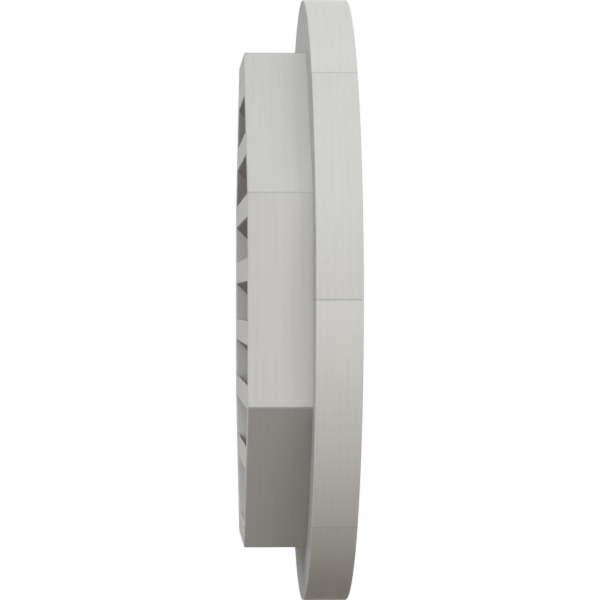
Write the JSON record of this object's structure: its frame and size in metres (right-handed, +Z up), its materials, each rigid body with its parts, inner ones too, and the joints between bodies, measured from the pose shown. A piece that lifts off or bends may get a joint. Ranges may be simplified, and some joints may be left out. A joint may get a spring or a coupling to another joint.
{
  "type": "round gable vent",
  "caption": "Round louvred gable vent in painted timber: a mitred ring on the wall face and an octagonal box of sloping louvres behind it.",
  "frame": {"origin": "on the vent's axis, in the plane where the ring's back meets the wall", "axes": "+Y along the vent's axis into the attic, -Y towards the street, +Z up"},
  "size_m": [0.508, 0.0873, 0.508],
  "materials": {
    "ring_paint": "painted, matt",
    "box_paint": "painted, matt",
    "louvre_paint": "painted, matt",
    "beech": "bare, planed"
  },
  "bodies": {
    "root": {"box_board_right": "box_paint", "box_board_upper_right": "box_paint", "box_board_top": "box_paint", "box_board_upper_left": "box_paint", "box_board_left": "box_paint", "box_board_lower_left": "box_paint", "box_board_bottom": "box_paint", "box_board_lower_right": "box_paint", "louvre_1": "louvre_paint", "louvre_2": "louvre_paint", "louvre_3": "louvre_paint", "louvre_4": "louvre_paint", "louvre_5": "louvre_paint", "louvre_6": "louvre_paint", "louvre_7": "louvre_paint", "ring_segment_1": "ring_paint", "ring_segment_2": "ring_paint", "ring_segment_3": "ring_paint", "ring_segment_4": "ring_paint", "ring_segment_5": "ring_paint", "ring_segment_6": "ring_paint", "ring_segment_7": "ring_paint", "ring_segment_8": "ring_paint", "corner_biscuits": "beech", "ring_biscuits": "beech"}
  },
  "joints": []
}
